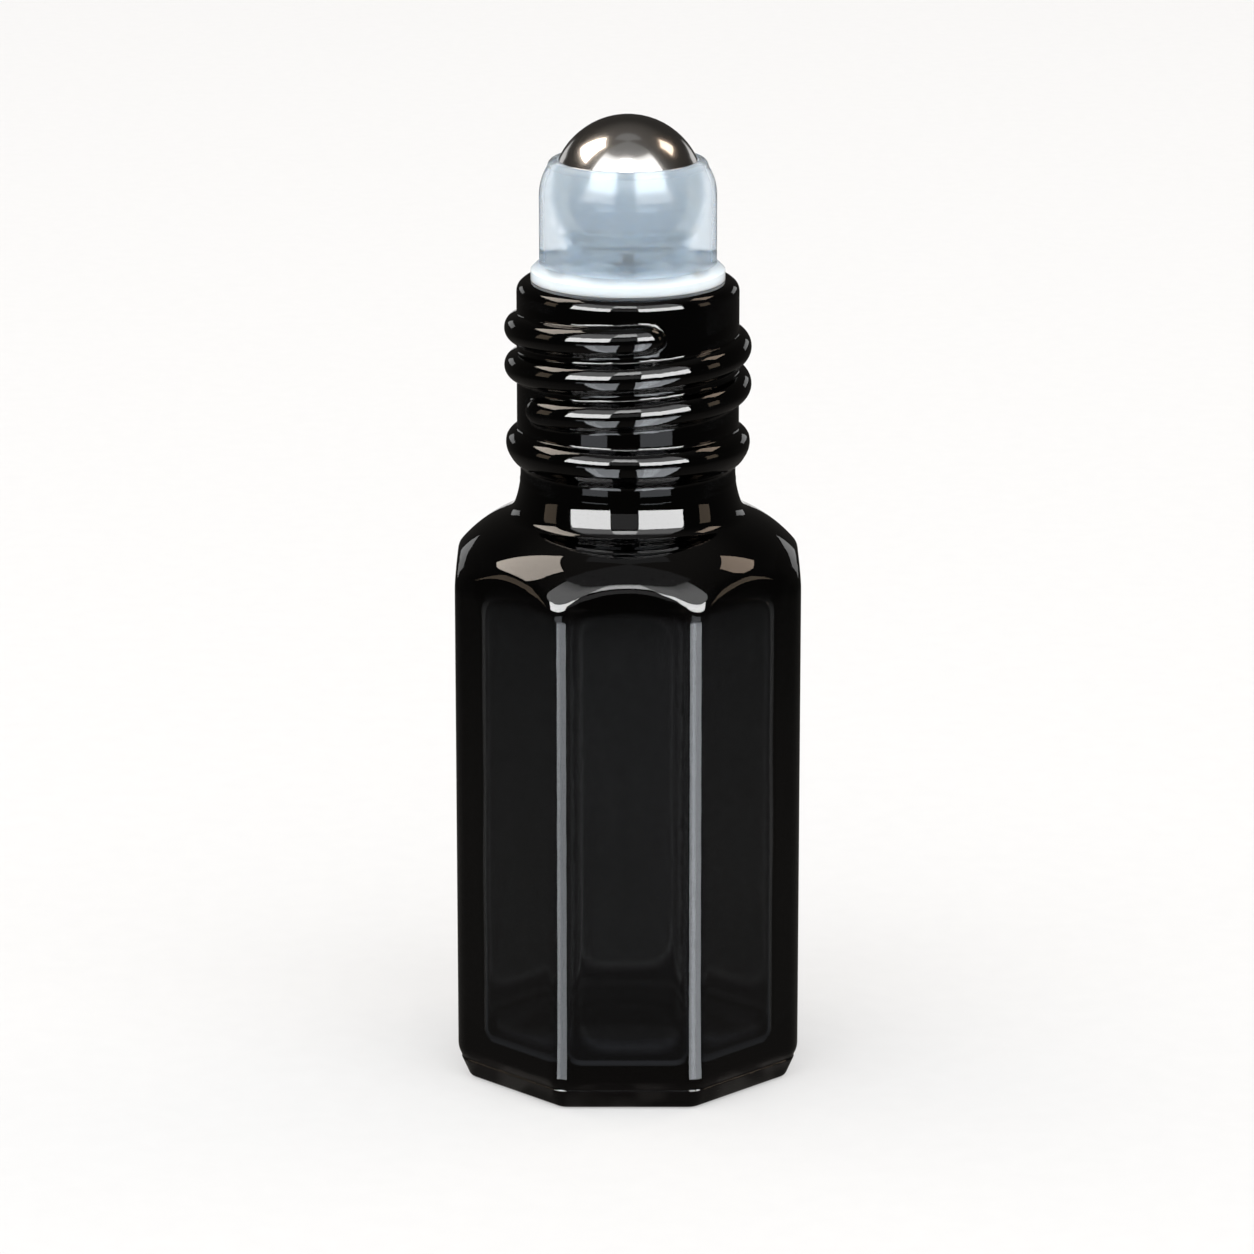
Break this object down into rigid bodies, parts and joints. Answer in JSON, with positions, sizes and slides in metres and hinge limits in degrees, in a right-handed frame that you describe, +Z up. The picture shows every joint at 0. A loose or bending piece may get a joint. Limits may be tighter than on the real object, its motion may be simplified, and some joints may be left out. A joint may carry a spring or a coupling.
{
  "type": "roll on bottle",
  "caption": "Small octagonal glass roll-on bottle with a round threaded neck, a snap-in translucent roller housing and a steel roller ball; cap not included.",
  "frame": {"origin": "centre of the face that the bottle stands on", "axes": "+Z up along the bottle's axis; -Y and +Y square to two opposite flats, and -Y is the front seen in the picture; +X square to the flat at the right"},
  "size_m": [0.0182, 0.0182, 0.0516],
  "materials": {
    "black_glass": "moulded glass tinted almost black, fire-polished gloss",
    "natural_polyethylene": "injection-moulded natural polyethylene, translucent, soft gloss",
    "polished_steel": "mirror-polished stainless steel"
  },
  "bodies": {
    "bottle": {"glass_bottle": "black_glass"},
    "fitment": {"roller_housing": "natural_polyethylene"},
    "ball": {"roller_ball": "polished_steel"}
  },
  "joints": [
    {"name": "fitment_pull", "type": "slide", "parent": "bottle", "child": "fitment", "axis": [0, 0, 1], "range_m": [0, 0.012]},
    {"name": "ball_roll", "type": "hinge", "parent": "fitment", "child": "ball", "pos_m": [0, 0, 0.04765], "axis": [1, 0, 0], "continuous": true}
  ]
}
